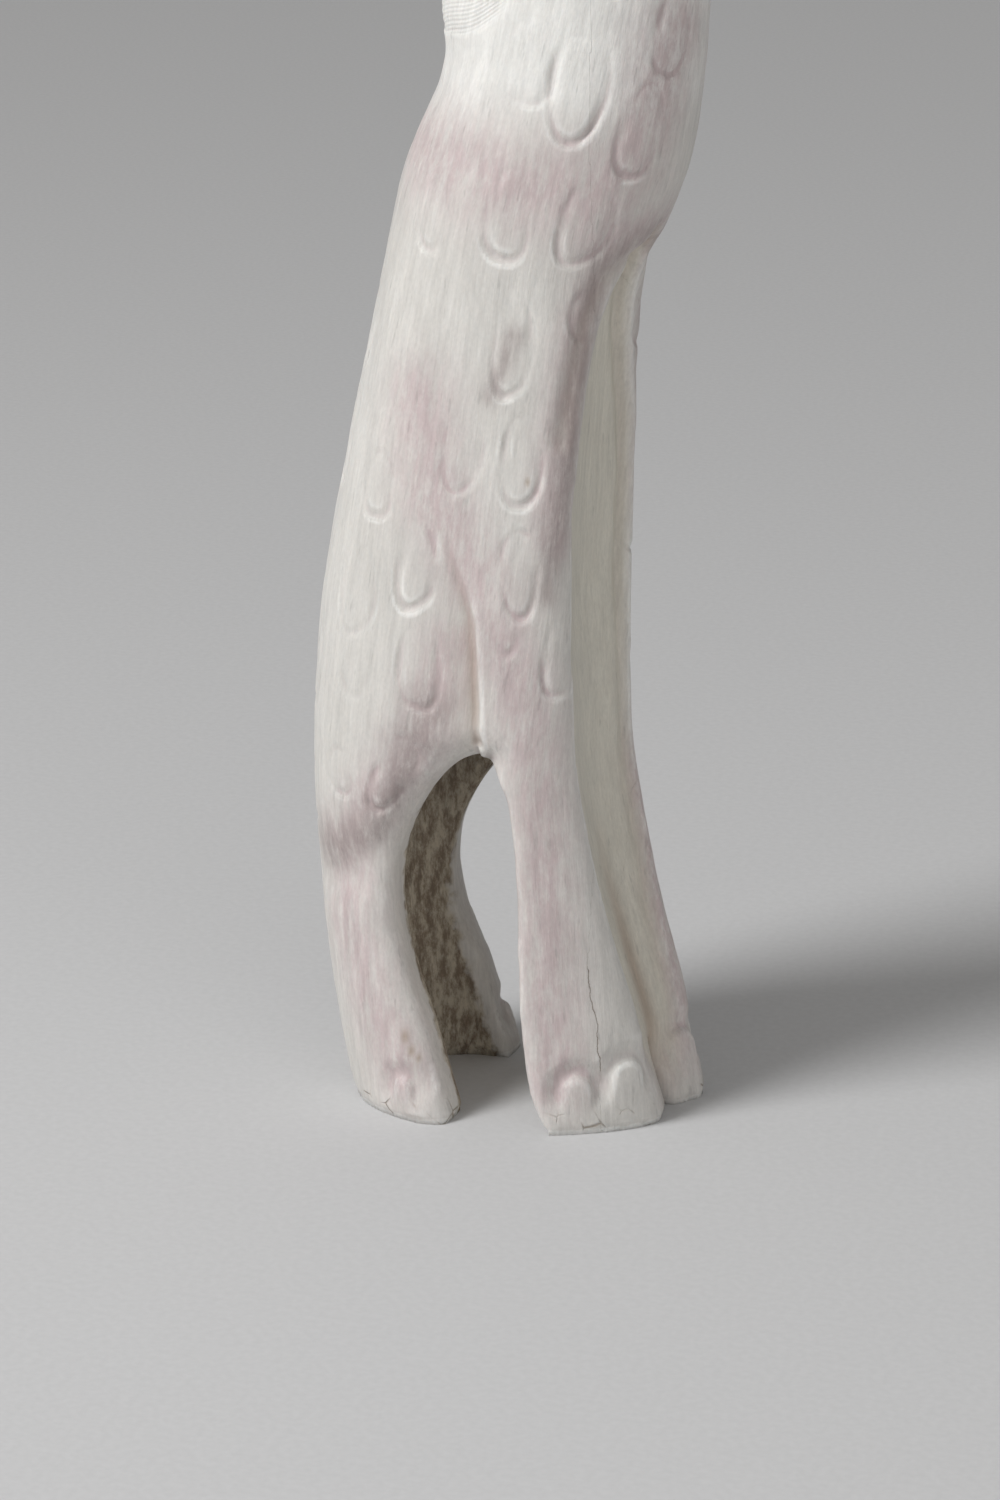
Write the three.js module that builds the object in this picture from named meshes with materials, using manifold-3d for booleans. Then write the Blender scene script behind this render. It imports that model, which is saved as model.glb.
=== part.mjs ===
// A giraffe carved from one hollow leg bone, with a separate head pegged on top of the neck.
// Millimetres, +Z up, the giraffe faces +X and its right side is -Y. The rows below count X from the
// middle of the feet, and the finished statue is moved so that the origin is on the ground under the
// middle of its overall box.
//
// The bone is a tube: its wall is the animal's outside and its marrow canal runs from the feet to the
// top of the neck. Two arches cut through the sides part the hind legs from the front legs. A channel
// cut down the front leaves a web between the front legs, and a shallower one does so at the back.

import * as THREE from 'three';
import { ParametricGeometry } from 'three/addons/geometries/ParametricGeometry.js';
import { mergeVertices } from 'three/addons/utils/BufferGeometryUtils.js';
import Module from 'manifold-3d';

const wasm = await Module();
wasm.setup();

// ---------------------------------------------------------------- driving dimensions

const GAP = 0.3;                 // clearance where one piece touches another
const NECK_TOP = 224;            // height of the flat joint under the head
const FOOT_CUT = -2;             // cutters start this far below the soles
const BOX_MIDDLE = 12.8;         // X of the overall box's middle, counted from the middle of the feet

// The outside of the bone, from the soles up. rear and front are the X of the back and front edges,
// half is the half-width across, back and nose are how square the back and the front of the section
// are (2 is an ellipse), taper is how much narrower the front of the section is than its middle, and
// skew is how far the left side of the front stands ahead of the right side, for each unit across.
const BONE = [
  { z: 0, rear: -23.0, front: 25.2, half: 18.6, back: 2.5, nose: 2.7, taper: 0.26, skew: 0.26 },
  { z: 14, rear: -25.9, front: 22.4, half: 17.8, back: 2.5, nose: 2.8, taper: 0.2, skew: 0.2 },
  { z: 32, rear: -28.1, front: 17.8, half: 17.0, back: 2.5, nose: 3.2, taper: 0.14, skew: 0.12 },
  { z: 50, rear: -28.9, front: 14.4, half: 16.8, back: 2.5, nose: 3.6, taper: 0.1, skew: 0.07 },
  { z: 70, rear: -27.7, front: 13.8, half: 16.6, back: 2.4, nose: 3.9, taper: 0.06, skew: 0.05 },
  { z: 90, rear: -24.3, front: 14.4, half: 16.2, back: 2.3, nose: 4.0, taper: 0.05, skew: 0.04 },
  { z: 108, rear: -20.6, front: 15.6, half: 15.6, back: 2.2, nose: 3.4, taper: 0.06, skew: 0.02 },
  { z: 119, rear: -18.4, front: 17.4, half: 15.2, back: 2.1, nose: 2.6, taper: 0.08, skew: 0 },
  { z: 133, rear: -15.3, front: 23.1, half: 14.8, back: 2.1, nose: 2.2, taper: 0.08, skew: 0 },
  { z: 146, rear: -9.6, front: 25.1, half: 14.0, back: 2.0, nose: 2.1, taper: 0.06, skew: 0 },
  { z: 153, rear: -10.9, front: 25.7, half: 13.5, back: 2.0, nose: 2.0, taper: 0.05, skew: 0 },
  { z: 164, rear: -8.4, front: 26.4, half: 12.8, back: 2.0, nose: 2.0, taper: 0.04, skew: 0 },
  { z: 185, rear: -1.2, front: 27.4, half: 11.4, back: 2.0, nose: 2.0, taper: 0.02, skew: 0 },
  { z: 206, rear: 5.2, front: 29.2, half: 10.3, back: 2.0, nose: 2.0, taper: 0, skew: 0 },
  { z: NECK_TOP, rear: 9.4, front: 32.0, half: 9.8, back: 2.0, nose: 2.0, taper: 0, skew: 0 },
];

// The marrow canal, from below the soles to above the neck joint.
const CANAL = [
  { z: -3, rear: -16.4, front: 3.6, half: 9.8, square: 2.4 },
  { z: 20, rear: -18.6, front: 2.6, half: 9.2, square: 2.4 },
  { z: 50, rear: -19.4, front: 2.6, half: 8.4, square: 2.2 },
  { z: 85, rear: -15.0, front: 3.6, half: 7.4, square: 2.1 },
  { z: 120, rear: -7.4, front: 7.6, half: 6.2, square: 2 },
  { z: 160, rear: 3.0, front: 14.2, half: 4.8, square: 2 },
  { z: 200, rear: 14.0, front: 21.0, half: 3.5, square: 2 },
  { z: 230, rear: 17.0, front: 24.0, half: 3.5, square: 2 },
];

// The channel between the front legs: half-width and depth at each height, pointed at the top.
const FRONT_CHANNEL = [
  { z: 0, half: 5.0, depth: 2.4 },
  { z: 14, half: 6.4, depth: 3.8 },
  { z: 35, half: 8.6, depth: 4.8 },
  { z: 60, half: 10.6, depth: 4.6 },
  { z: 90, half: 12.0, depth: 4.4 },
  { z: 108, half: 10.8, depth: 4.2 },
  { z: 117, half: 7.6, depth: 3.6 },
  { z: 123, half: 4.0, depth: 0 },
];
const REAR_CHANNEL = [
  { z: 0, half: 4.2, depth: 3.4 },
  { z: 30, half: 6.4, depth: 2.8 },
  { z: 52, half: 7.0, depth: 1.4 },
  { z: 72, half: 6.0, depth: 0 },
];

// The arch through each side: the hind leg's front edge going down, then the front leg's back edge
// going up. The left arch is cut lower and further back than the right one.
const RIGHT_ARCH = {
  hind: [[0.4, 53], [-4.8, 51.4], [-9.4, 45.8], [-12.4, 39], [-13.4, 33], [-12.8, 27.5], [-10.6, 20],
    [-7.4, 11], [-3.4, FOOT_CUT]],
  front: [[10.4, FOOT_CUT], [7.4, 4], [6, 10], [5.2, 17], [4.8, 26], [4.2, 39], [3, 48], [0.4, 53]],
};
const LEFT_ARCH = {
  hind: [[-1.6, 47.8], [-5.6, 46.4], [-9.6, 40.8], [-12.4, 34.4], [-13.4, 28.5], [-12.2, 22], [-9.4, 15],
    [-6.8, 7], [-4.2, FOOT_CUT]],
  front: [[7, FOOT_CUT], [4.6, 4], [3.4, 10], [2.8, 21], [2.2, 34], [1, 43], [-1.6, 47.8]],
};
const OUTSIDE = 26;              // the arch cutters reach this far out to each side

// The slits that open the two channels through to the canal at the soles.
const FRONT_SLIT = { height: 15, floorHalf: 0.8, topHalf: 0.2, from: 0, to: 30 };
const REAR_SLIT = { height: 11, floorHalf: 1.8, topHalf: 0.2, from: -30, to: -12 };

// The tail, a thin strip glued down the back: half-width and how far it stands proud.
const TAIL = [
  { z: 11, half: 0.3, proud: 0.5 },
  { z: 16, half: 1.7, proud: 1.0 },
  { z: 23, half: 2.6, proud: 1.2 },
  { z: 31, half: 1.7, proud: 1.0 },
  { z: 37, half: 1.3, proud: 0.9 },
  { z: 66, half: 1.5, proud: 0.9 },
  { z: 78, half: 2.3, proud: 0.7 },
  { z: 82, half: 0.4, proud: 0.3 },
];

const DOWEL = { radius: 3.2, bottom: 204, top: 239, x: 20.5 };

// The head, from the nape to the muzzle: the middle of each section, and its half-height and width.
const HEAD = [
  { x: 9.8, z: 238.6, high: 2.6, wide: 3.4 },
  { x: 12.6, z: 239.4, high: 7.6, wide: 7.4 },
  { x: 18.5, z: 240.2, high: 10.6, wide: 9.9 },
  { x: 26.0, z: 239.4, high: 10.6, wide: 9.8 },
  { x: 34.0, z: 236.2, high: 9.0, wide: 7.9 },
  { x: 42.0, z: 232.6, high: 7.4, wide: 6.7 },
  { x: 48.5, z: 229.8, high: 7.0, wide: 7.2 },
  { x: 53.0, z: 227.9, high: 5.6, wide: 6.2 },
  { x: 55.4, z: 227.0, high: 2.2, wide: 2.8 },
];
const THROAT = { top: 240, shrink: 0.16 };   // the stump between the neck joint and the skull
const EYE = { x: 27.0, y: 8.6, z: 242.4, radius: 2.3 };
const PEG_RADIUS = 1.3;          // the ears and horns are glued in on round pegs
const HORN = { x: 18.6, y: 4.6, z: 248.8, lean: 0.16, pegLength: 4.5, stem: 2.2, knob: 3.0, height: 11 };
const EAR = { x: 14.6, y: 8.0, z: 243.6, pegLength: 3.6, length: 14.5, half: 4.8, thick: 1.0, cup: 0.09 };
const EAR_SPREAD = 1.12;         // how far the ears lean out and back, in radians
const EAR_SWEEP = 0.42;
const EAR_OVERLAP = 1.5;         // how far the peg runs up inside the ear

const BONE_COLOUR = { color: 0xd0c8c2, roughness: 0.5, metalness: 0 };
const DARK_COLOUR = { color: 0x1a1512, roughness: 0.3, metalness: 0 };

// ---------------------------------------------------------------- helpers

// A smooth value between rows at any height, by a cubic through the neighbouring rows.
function at(rows, z, key, axis = 'z') {
  const last = rows.length - 1;
  if (z <= rows[0][axis]) return rows[0][key];
  if (z >= rows[last][axis]) return rows[last][key];
  const i = rows.findIndex((row, n) => n < last && z < rows[n + 1][axis]);
  const slope = (n) => {
    const a = rows[Math.max(n - 1, 0)];
    const b = rows[Math.min(n + 1, last)];
    return (b[key] - a[key]) / (b[axis] - a[axis]);
  };
  const span = rows[i + 1][axis] - rows[i][axis];
  const t = (z - rows[i][axis]) / span;
  const t2 = t * t;
  const t3 = t2 * t;
  return rows[i][key] * (2 * t3 - 3 * t2 + 1) + slope(i) * span * (t3 - 2 * t2 + t)
    + rows[i + 1][key] * (3 * t2 - 2 * t3) + slope(i + 1) * span * (t3 - t2);
}

// A closed solid through rings: ring(s, angle, target) is a point of the outline at s from 0 to 1.
// The first and the last ring are closed by a fan to the middle of the ring.
function loft(ring, around, along) {
  const middle = new THREE.Vector3();
  const point = new THREE.Vector3();
  const geometry = new ParametricGeometry((u, v, target) => {
    const row = Math.round(v * (along + 2)) - 1;
    const s = THREE.MathUtils.clamp(row / along, 0, 1);
    if (row >= 0 && row <= along) {
      ring(s, 2 * Math.PI * (Math.round(u * around) % around) / around, target);
      return;
    }
    middle.set(0, 0, 0);
    for (let k = 0; k < 4; k += 1) {
      ring(s, k * Math.PI / 2, point);
      middle.addScaledVector(point, 0.25);
    }
    target.copy(middle);
  }, around, along + 2);
  return toSolid(geometry);
}

// A closed three.js geometry as a solid for cutting and joining.
function toSolid(source) {
  const plain = source.clone();
  plain.deleteAttribute('normal');
  plain.deleteAttribute('uv');
  const merged = mergeVertices(plain, 1e-4);
  const index = merged.index.array;
  const triangles = [];
  for (let i = 0; i < index.length; i += 3) {
    const [a, b, c] = [index[i], index[i + 1], index[i + 2]];
    if (a !== b && b !== c && c !== a) triangles.push(a, b, c);
  }
  return new wasm.Manifold(new wasm.Mesh({
    numProp: 3,
    vertProperties: new Float32Array(merged.attributes.position.array),
    triVerts: new Uint32Array(triangles),
  }));
}

function toGeometry(solid) {
  const mesh = solid.getMesh();
  const geometry = new THREE.BufferGeometry();
  geometry.setAttribute('position', new THREE.BufferAttribute(new Float32Array(mesh.vertProperties), 3));
  geometry.setIndex(new THREE.BufferAttribute(new Uint32Array(mesh.triVerts), 1));
  geometry.computeVertexNormals();
  return geometry;
}

const giraffe = new THREE.Group();

function addPiece(name, geometry, colour) {
  const mesh = new THREE.Mesh(geometry, new THREE.MeshStandardMaterial(colour));
  mesh.name = name;
  giraffe.add(mesh);
}

const CROWDING = 0.3;            // how much the outline's points crowd towards the two channels
const power = (value, exponent) => Math.sign(value) * Math.abs(value) ** exponent;

// ---------------------------------------------------------------- the bone

// How far a channel sinks into the surface at a height and a distance from the middle plane.
function channelDepth(rows, z, y) {
  const inside = 1 - (y / at(rows, z, 'half')) ** 2;
  return inside > 0 ? at(rows, z, 'depth') * inside : 0;
}

// A point of the bone's outline at one height; grow moves the whole surface outwards.
function boneRing(z, angle, grow, target) {
  const turn = angle - CROWDING * Math.sin(2 * angle);
  const exponent = 2 / at(BONE, z, Math.cos(turn) > 0 ? 'nose' : 'back');
  const rear = at(BONE, z, 'rear') - grow;
  const front = at(BONE, z, 'front') + grow;
  const along = power(Math.cos(turn), exponent);
  const narrowing = 1 - at(BONE, z, 'taper') * Math.max(along, 0);
  const y = (at(BONE, z, 'half') + grow) * power(Math.sin(turn), exponent) * narrowing;
  let x = (front + rear) / 2 + (front - rear) / 2 * along;
  if (along > 0) x += at(BONE, z, 'skew') * y * along - channelDepth(FRONT_CHANNEL, z, y);
  if (along < 0) x += channelDepth(REAR_CHANNEL, z, y);
  target.set(x, y, z);
}

function boneSolid(grow) {
  return loft((s, angle, target) => boneRing(NECK_TOP * s, angle, grow, target), 60, 44);
}

function canalSolid() {
  const bottom = CANAL[0].z;
  const top = CANAL[CANAL.length - 1].z;
  return loft((s, angle, target) => {
    const z = bottom + (top - bottom) * s;
    const exponent = 2 / at(CANAL, z, 'square');
    const rear = at(CANAL, z, 'rear');
    const front = at(CANAL, z, 'front');
    const x = (front + rear) / 2 + (front - rear) / 2 * power(Math.cos(angle), exponent);
    target.set(x, at(CANAL, z, 'half') * power(Math.sin(angle), exponent), z);
  }, 24, 16);
}

// An outline in the XZ plane pushed through Y from one distance to another.
function throughSide(shape, fromY, toY) {
  const settings = { depth: toY - fromY, bevelEnabled: false, curveSegments: 6 };
  const geometry = new THREE.ExtrudeGeometry(shape, settings);
  geometry.rotateX(Math.PI / 2);
  geometry.translate(0, toY, 0);
  return toSolid(geometry);
}

function archShape(arch) {
  const edge = (points) => points.map(([x, z]) => new THREE.Vector2(x, z));
  const shape = new THREE.Shape();
  shape.moveTo(...arch.hind[0]);
  shape.splineThru(edge(arch.hind.slice(1)));
  shape.lineTo(...arch.front[0]);
  shape.splineThru(edge(arch.front.slice(1, -1)));
  return shape;
}

function archCutters() {
  const right = throughSide(archShape(RIGHT_ARCH), -OUTSIDE, 0);
  return right.add(throughSide(archShape(LEFT_ARCH), 0, OUTSIDE));
}

// A thin wedge that opens a channel through to the canal at the soles.
function slitCutter(slit) {
  const shape = new THREE.Shape([
    new THREE.Vector2(-slit.floorHalf, FOOT_CUT),
    new THREE.Vector2(slit.floorHalf, FOOT_CUT),
    new THREE.Vector2(slit.topHalf, slit.height),
    new THREE.Vector2(-slit.topHalf, slit.height),
  ]);
  const geometry = new THREE.ExtrudeGeometry(shape, { depth: slit.to - slit.from, bevelEnabled: false });
  geometry.rotateX(Math.PI / 2);
  geometry.rotateZ(Math.PI / 2);
  geometry.translate(slit.from, 0, 0);
  return toSolid(geometry);
}

function carvedBody() {
  return boneSolid(0)
    .subtract(canalSolid())
    .subtract(archCutters())
    .subtract(slitCutter(FRONT_SLIT))
    .subtract(slitCutter(REAR_SLIT));
}

// ---------------------------------------------------------------- the tail

function tailSolid() {
  const bottom = TAIL[0].z;
  const top = TAIL[TAIL.length - 1].z;
  const strip = loft((s, angle, target) => {
    const z = bottom + (top - bottom) * s;
    const outer = at(BONE, z, 'rear') - at(TAIL, z, 'proud');
    const inner = at(BONE, z, 'rear') + channelDepth(REAR_CHANNEL, z, 0) + 1;
    const x = (outer + inner) / 2 + (outer - inner) / 2 * Math.cos(angle);
    target.set(x, -at(TAIL, z, 'half') * power(Math.sin(angle), 0.7), z);
  }, 12, 22);
  return strip.subtract(boneSolid(GAP));
}

// ---------------------------------------------------------------- the head

function headBlock() {
  const first = HEAD[0].x;
  const last = HEAD[HEAD.length - 1].x;
  const skull = loft((s, angle, target) => {
    const x = first + (last - first) * (1 - Math.cos(Math.PI * s)) / 2;
    const y = at(HEAD, x, 'wide', 'x') * Math.cos(angle);
    target.set(x, y, at(HEAD, x, 'z', 'x') + at(HEAD, x, 'high', 'x') * Math.sin(angle));
  }, 28, 22);
  const throatBottom = NECK_TOP + GAP;
  const throat = loft((s, angle, target) => {
    boneRing(NECK_TOP, angle, 0, target);
    const shrink = 1 - THROAT.shrink * s;
    const z = throatBottom + (THROAT.top - throatBottom) * s;
    target.set(DOWEL.x + (target.x - DOWEL.x) * shrink, target.y * shrink, z);
  }, 28, 4);
  return skull.add(throat);
}

// Turns and moves a geometry built along +Z to a place on one side of the head.
function place(geometry, x, y, z, turnX, turnY) {
  geometry.rotateY(turnY);
  geometry.rotateX(turnX);
  geometry.translate(x, y, z);
  return geometry;
}

function hornGeometry(side, grow) {
  const { height, knob, stem } = HORN;
  const pegRadius = PEG_RADIUS + grow;
  const pegEnd = -HORN.pegLength - grow;
  const profile = [
    [0, pegEnd], [pegRadius, pegEnd], [pegRadius, 0], [stem, 0], [stem * 0.86, height * 0.5],
    [knob, height * 0.78], [knob * 0.86, height * 0.93], [0, height],
  ].map(([radius, along]) => new THREE.Vector2(radius, along));
  const geometry = new THREE.LatheGeometry(profile, 16);
  geometry.rotateX(Math.PI / 2);
  return place(geometry, HORN.x, side * HORN.y, HORN.z, -side * HORN.lean, -HORN.lean);
}

// A leaf-shaped ear on a peg, pointing out and back from the side of the head.
function earSolid(side) {
  const leaf = loft((s, angle, target) => {
    const width = EAR.half * Math.sin(Math.PI * (0.1 + 0.86 * s)) ** 0.8;
    const across = width * Math.cos(angle);
    target.set(across, EAR.thick * Math.sin(angle) - EAR.cup * across * across, EAR.length * s);
  }, 12, 9);
  return placeEar(leaf.add(earPeg(0)), side);
}

function earPeg(grow) {
  const length = EAR.pegLength + EAR_OVERLAP;
  const peg = new THREE.CylinderGeometry(PEG_RADIUS + grow, PEG_RADIUS + grow, length, 16);
  peg.rotateX(Math.PI / 2);
  peg.translate(0, 0, EAR_OVERLAP - length / 2);
  return toSolid(peg);
}

function placeEar(solid, side) {
  const geometry = toGeometry(solid);
  geometry.rotateZ(side > 0 ? 0 : Math.PI);
  return toSolid(place(geometry, EAR.x, side * EAR.y, EAR.z, -side * EAR_SPREAD, -EAR_SWEEP));
}

function eyeGeometry(side, grow) {
  const geometry = new THREE.SphereGeometry(EYE.radius + grow, 14, 10);
  geometry.translate(EYE.x, side * EYE.y, EYE.z);
  return geometry;
}

function dowelGeometry(grow) {
  const radius = DOWEL.radius + grow;
  const geometry = new THREE.CylinderGeometry(radius, radius, DOWEL.top - DOWEL.bottom + grow, 24);
  geometry.rotateX(Math.PI / 2);
  geometry.translate(DOWEL.x, 0, (DOWEL.top + DOWEL.bottom + grow) / 2);
  return geometry;
}

// ---------------------------------------------------------------- assembly

const dowelHole = toSolid(dowelGeometry(GAP));
addPiece('carved_body', toGeometry(carvedBody().subtract(dowelHole)), BONE_COLOUR);
addPiece('tail', toGeometry(tailSolid()), BONE_COLOUR);
addPiece('neck_dowel', dowelGeometry(0), BONE_COLOUR);

let head = headBlock().subtract(dowelHole);
for (const [name, side] of [['right', -1], ['left', 1]]) {
  head = head
    .subtract(toSolid(hornGeometry(side, GAP)))
    .subtract(placeEar(earPeg(GAP), side))
    .subtract(toSolid(eyeGeometry(side, GAP)));
  addPiece(`${name}_horn`, hornGeometry(side, 0), BONE_COLOUR);
  addPiece(`${name}_ear`, toGeometry(earSolid(side)), BONE_COLOUR);
  addPiece(`${name}_eye`, eyeGeometry(side, 0), DARK_COLOUR);
}
addPiece('head', toGeometry(head), BONE_COLOUR);
giraffe.position.x = -BOX_MIDDLE;

export default giraffe;
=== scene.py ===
"""The looks of a standing giraffe carved from one hollow leg bone.

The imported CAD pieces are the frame. Each bone piece but the dowel is copied as a fine mesh, softened as
if polished by hand, and carved by moving its points along their normals: engraved spots, toes, folds, a
mane and a face. The studio's and the materials' lengths are in metres and the carving's in millimetres.
A place on the body is a pair: the turn in degrees about the bone's middle, from the front (0) over the
giraffe's right side (90) to the back (180), and the height above the ground.
"""

import math

import bpy
import numpy as np
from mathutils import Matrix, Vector
from mathutils.bvhtree import BVHTree


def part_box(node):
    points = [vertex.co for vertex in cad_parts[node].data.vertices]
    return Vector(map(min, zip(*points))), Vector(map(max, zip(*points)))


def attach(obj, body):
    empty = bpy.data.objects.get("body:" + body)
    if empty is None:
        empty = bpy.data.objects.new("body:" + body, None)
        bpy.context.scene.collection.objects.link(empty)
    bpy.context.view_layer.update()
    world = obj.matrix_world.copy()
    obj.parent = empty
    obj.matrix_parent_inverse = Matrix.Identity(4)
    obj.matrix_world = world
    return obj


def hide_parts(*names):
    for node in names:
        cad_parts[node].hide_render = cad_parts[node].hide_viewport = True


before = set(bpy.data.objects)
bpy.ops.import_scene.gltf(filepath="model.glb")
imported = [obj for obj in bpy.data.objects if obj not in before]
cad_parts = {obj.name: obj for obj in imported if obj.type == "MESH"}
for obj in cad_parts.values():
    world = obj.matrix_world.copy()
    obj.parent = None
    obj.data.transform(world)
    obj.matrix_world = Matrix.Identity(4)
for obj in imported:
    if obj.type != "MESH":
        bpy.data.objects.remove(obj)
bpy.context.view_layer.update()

MM = 0.001
BODY = "root"

# ------------------------------------------------------------------ camera, light and floor

CAMERA_PLACE = (0.20845, -0.61591, 0.26441)
CAMERA_AIM = (-0.01538, -0.00094, 0.05009)
CAMERA_LENS = 120
CAMERA_SENSOR = 36
CAMERA_CLIP = 0.01
FLOOR_SIZE = 40.0
FLOOR_COLOUR = (0.60, 0.60, 0.605)

KEY_PLACE = (-0.46, -0.52, 0.70)
KEY_AIM = (0.0, 0.0, 0.15)
KEY_SIZE = 0.36
KEY_POWER = 4.6
SUN_FROM = (-0.55, -0.62, 0.62)
SUN_SPREAD = 22
SUN_STRENGTH = 0.90
FILL_PLACE = (0.75, -0.85, 0.35)
FILL_SIZE = 0.9
FILL_POWER = 2.3
SKY_COLOUR = (0.93, 0.92, 0.90)
SKY_STRENGTH = 0.30


def aim(thing, target):
    """Turns a camera or a light to face a place."""
    direction = Vector(target) - thing.location
    thing.rotation_euler = direction.to_track_quat("-Z", "Y").to_euler()


def add_camera():
    data = bpy.data.cameras.new("camera")
    data.lens = CAMERA_LENS
    data.sensor_width = CAMERA_SENSOR
    data.clip_start = CAMERA_CLIP
    camera = bpy.data.objects.new("camera", data)
    camera.location = CAMERA_PLACE
    bpy.context.scene.collection.objects.link(camera)
    aim(camera, CAMERA_AIM)
    bpy.context.scene.camera = camera


def add_light(name, place, target, size, power):
    data = bpy.data.lights.new(name, "AREA")
    data.shape = "DISK"
    data.size = size
    data.energy = power
    light = bpy.data.objects.new(name, data)
    light.location = place
    bpy.context.scene.collection.objects.link(light)
    aim(light, target)


def add_sun():
    data = bpy.data.lights.new("sun", "SUN")
    data.angle = math.radians(SUN_SPREAD)
    data.energy = SUN_STRENGTH
    sun = bpy.data.objects.new("sun", data)
    sun.location = SUN_FROM
    bpy.context.scene.collection.objects.link(sun)
    aim(sun, (0, 0, 0))


def add_studio():
    add_sun()
    add_light("key", KEY_PLACE, KEY_AIM, KEY_SIZE, KEY_POWER)
    add_light("fill", FILL_PLACE, KEY_AIM, FILL_SIZE, FILL_POWER)
    world = bpy.data.worlds.new("sky")
    world.use_nodes = True
    background = world.node_tree.nodes["Background"]
    background.inputs["Color"].default_value = (*SKY_COLOUR, 1)
    background.inputs["Strength"].default_value = SKY_STRENGTH
    bpy.context.scene.world = world
    bpy.context.scene.view_settings.view_transform = "Standard"


def add_floor():
    half = FLOOR_SIZE / 2
    mesh = bpy.data.meshes.new("floor")
    corners = [(-half, -half, 0), (half, -half, 0), (half, half, 0), (-half, half, 0)]
    mesh.from_pydata(corners, [], [(0, 1, 2, 3)])
    floor = bpy.data.objects.new("floor", mesh)
    bpy.context.scene.collection.objects.link(floor)
    graph = Graph("floor")
    speckle = graph.noise(scale=900, detail=2)
    shade = graph.ramp(speckle, [(0.3, FLOOR_COLOUR), (0.7, tuple(1.05 * c for c in FLOOR_COLOUR))])
    graph.surface({"Base Color": shade, "Roughness": 0.85, "Specular IOR Level": 0.2})
    mesh.materials.append(graph.material)


# ------------------------------------------------------------------ materials

# The mane's strand count is stored divided by this, since a mark lies between 0 and 1.
STRAND_SCALE = 200
# How far the crack wanders from its line, and its half-width inside and out, as shares of its reach.
CRACK_WAVER = 0.07
CRACK_CORE = 0.006
CRACK_EDGE = 0.026

IVORY = (0.655, 0.634, 0.598)
# The paler colour: pale bone at random, wear on edges, painted light on top and painted highlight on edges.
PALE_TONE_AND_LIGHT = (0.790, 0.780, 0.750)
MAUVE = (0.572, 0.480, 0.476)
WEB = (0.690, 0.655, 0.565)
# Brown for painted shade in creases and gaps, and for dark specks and marks.
DARK_MARK_AND_SHADE_BROWN = (0.420, 0.330, 0.255)
# Darker stain, and painted shade under the hock and beside the channel's ridge.
DARK_STAIN_AND_SHADE = (0.340, 0.285, 0.275)
CRACK_COLOUR = (0.270, 0.205, 0.140)
MARROW = (0.215, 0.165, 0.120)
MARROW_PALE = (0.560, 0.500, 0.400)


class Graph:
    """A material's node tree, built by calls that return sockets."""

    def __init__(self, name):
        self.material = bpy.data.materials.new(name)
        self.material.use_nodes = True
        self.tree = self.material.node_tree
        self.shader = self.tree.nodes["Principled BSDF"]
        self.place = self.add("ShaderNodeTexCoord").outputs["Object"]

    def lean(self, name):
        """Takes texture places from an attribute, so that the grain follows the bone."""
        self.place = self.add("ShaderNodeAttribute", attribute_name=name).outputs["Vector"]

    def add(self, kind, **settings):
        node = self.tree.nodes.new(kind)
        for name, value in settings.items():
            setattr(node, name, value)
        return node

    def feed(self, socket, value):
        if isinstance(value, bpy.types.NodeSocket):
            self.tree.links.new(value, socket)
        elif isinstance(value, tuple) and len(value) == 3 and len(socket.default_value) == 4:
            socket.default_value = (*value, 1)
        else:
            socket.default_value = value

    def attribute(self, name):
        return self.add("ShaderNodeAttribute", attribute_name=name).outputs["Fac"]

    def math(self, operation, *values):
        node = self.add("ShaderNodeMath", operation=operation)
        for socket, value in zip(node.inputs, values):
            self.feed(socket, value)
        return node.outputs[0]

    def stretched(self, scale):
        node = self.add("ShaderNodeMapping")
        self.feed(node.inputs["Vector"], self.place)
        node.inputs["Scale"].default_value = scale
        return node.outputs["Vector"]

    def noise(self, scale, detail=3.0, stretch=(1, 1, 1), roughness=0.5):
        node = self.add("ShaderNodeTexNoise")
        self.feed(node.inputs["Vector"], self.stretched(stretch))
        node.inputs["Scale"].default_value = scale
        node.inputs["Detail"].default_value = detail
        node.inputs["Roughness"].default_value = roughness
        return node.outputs["Fac"]

    def voronoi(self, scale, stretch, feature):
        node = self.add("ShaderNodeTexVoronoi", feature=feature)
        self.feed(node.inputs["Vector"], self.stretched(stretch))
        node.inputs["Scale"].default_value = scale
        return node.outputs["Distance"]

    def span(self, value, low, high, low_to=0.0, high_to=1.0):
        node = self.add("ShaderNodeMapRange", interpolation_type="SMOOTHSTEP")
        for name, number in zip(("From Min", "From Max", "To Min", "To Max"), (low, high, low_to, high_to)):
            node.inputs[name].default_value = number
        self.feed(node.inputs["Value"], value)
        return node.outputs["Result"]

    def blend(self, amount, first, second):
        node = self.add("ShaderNodeMix", data_type="RGBA")
        self.feed(node.inputs["Factor"], amount)
        colours = [socket for socket in node.inputs if socket.type == "RGBA"]
        self.feed(colours[0], first)
        self.feed(colours[1], second)
        return next(socket for socket in node.outputs if socket.type == "RGBA")

    def ramp(self, value, stops):
        node = self.add("ShaderNodeValToRGB")
        elements = node.color_ramp.elements
        while len(elements) < len(stops):
            elements.new(0.5)
        for element, (position, colour) in zip(elements, stops):
            element.position = position
            element.color = (*colour, 1)
        self.feed(node.inputs["Fac"], value)
        return node.outputs["Color"]

    def bump(self, height, distance):
        node = self.add("ShaderNodeBump")
        node.inputs["Strength"].default_value = 1.0
        node.inputs["Distance"].default_value = distance
        self.feed(node.inputs["Height"], height)
        return node.outputs["Normal"]

    def surface(self, values):
        for name, value in values.items():
            self.feed(self.shader.inputs[name], value)


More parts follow.
